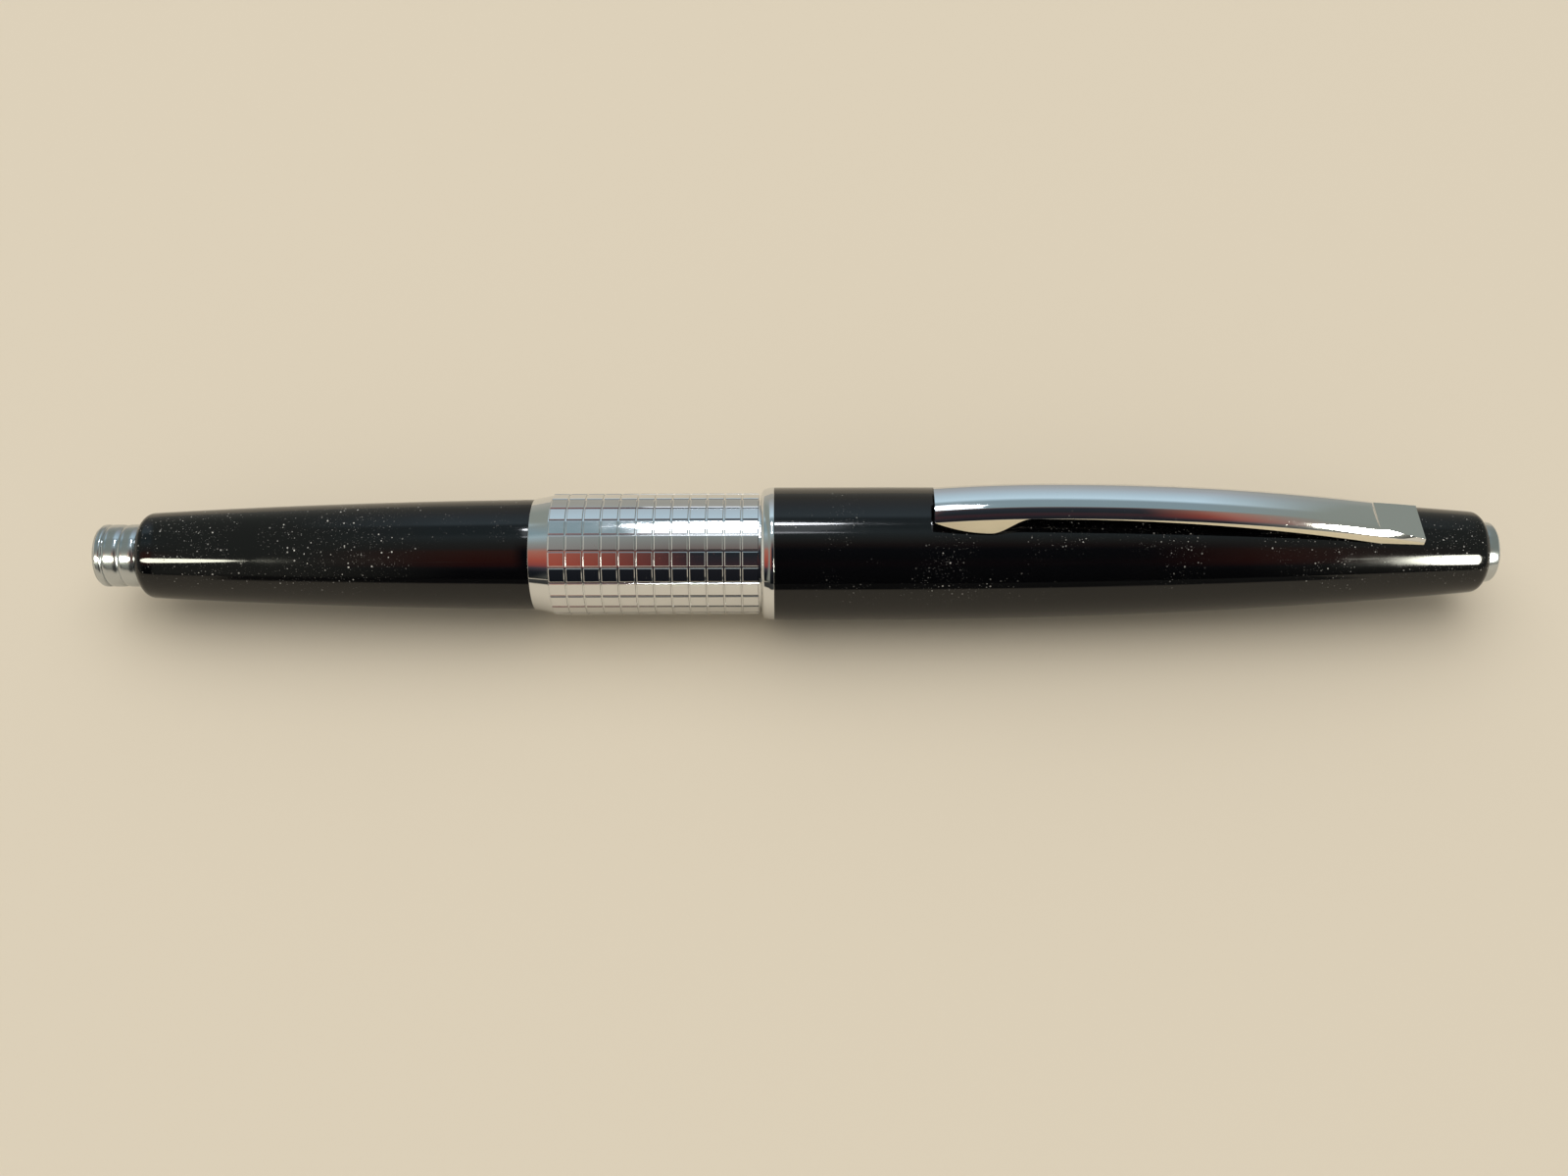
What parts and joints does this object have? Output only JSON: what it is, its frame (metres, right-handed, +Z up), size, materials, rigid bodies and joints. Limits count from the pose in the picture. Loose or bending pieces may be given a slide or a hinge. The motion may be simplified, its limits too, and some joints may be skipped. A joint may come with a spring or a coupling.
{
  "type": "capped mechanical pencil",
  "caption": "Capped pocket pencil: black tapering barrel and cap, checkered chrome band, chrome spring clip, ringed push button and a plunger button in the cap's end.",
  "frame": {"origin": "under the middle of the capped pencil, on the surface it lies on", "axes": "+X along the pencil from the push button to the cap's button, +Y across it, +Z up through the clip"},
  "size_m": [0.124, 0.0118, 0.0142],
  "materials": {
    "black_plastic": "deep gloss black, moulded and polished",
    "chrome": "bright chrome plate",
    "spring_steel": "drawn steel wire and tube",
    "nickel": "plain nickel-plated brass tube",
    "grey_plastic": "dark grey moulded plastic",
    "white_eraser": "soft white eraser",
    "black_rubber": "soft black rubber",
    "brass": "turned brass",
    "graphite": "polymer graphite lead"
  },
  "bodies": {
    "pencil": {"rear_barrel": "black_plastic", "centre_band": "chrome", "neck": "chrome", "snap_ring": "spring_steel", "front_section": "black_plastic", "mechanism_housing": "grey_plastic", "tip_cone": "chrome", "chuck_spring": "spring_steel"},
    "feed": {"eraser": "white_eraser", "eraser_holder": "grey_plastic", "lead_tube": "grey_plastic", "chuck": "brass", "writing_lead": "graphite", "spare_leads": "graphite"},
    "clutch": {"clutch_ring": "brass"},
    "sleeve": {"sleeve_carrier": "brass", "lead_retainer": "black_rubber", "lead_sleeve": "spring_steel"},
    "button": {"push_button": "chrome"},
    "cap": {"cap_shell": "black_plastic", "cap_mouth_ring": "chrome", "cap_liner": "nickel", "plunger_guide": "grey_plastic", "cap_spring": "spring_steel"},
    "cap_plunger": {"cap_plunger": "grey_plastic", "cap_button": "chrome"},
    "clip": {"clip": "chrome"}
  },
  "joints": [
    {"name": "feed_click", "type": "slide", "parent": "pencil", "child": "feed", "axis": [1, 0, 0], "range_m": [0, 0.0022], "stiffness_N_per_m": 400, "springref_m": -0.004, "deforming": ["chuck_spring"]},
    {"name": "clutch_slide", "type": "slide", "parent": "pencil", "child": "clutch", "axis": [1, 0, 0], "range_m": [0, 0.0006]},
    {"name": "sleeve_slide", "type": "slide", "parent": "pencil", "child": "sleeve", "axis": [-1, 0, 0], "range_m": [0, 0.0016]},
    {"name": "button_pull", "type": "slide", "parent": "feed", "child": "button", "axis": [-1, 0, 0], "range_m": [0, 0.012]},
    {"name": "cap_pull", "type": "slide", "parent": "pencil", "child": "cap", "axis": [1, 0, 0], "range_m": [0, 0.05]},
    {"name": "cap_button_slide", "type": "slide", "parent": "cap", "child": "cap_plunger", "axis": [1, 0, 0], "range_m": [0, 0.0025], "stiffness_N_per_m": 60, "springref_m": -0.004, "deforming": ["cap_spring"]},
    {"name": "clip_flex", "type": "hinge", "parent": "cap", "child": "clip", "pos_m": [0.0545, 0, 0.0099], "axis": [0, 1, 0], "range_deg": [0, 3.2], "stiffness_Nm_per_rad": 2}
  ],
  "couplings": [
    {"joint": "clutch_slide", "follows": "feed_click", "ratio": 0.27}
  ]
}
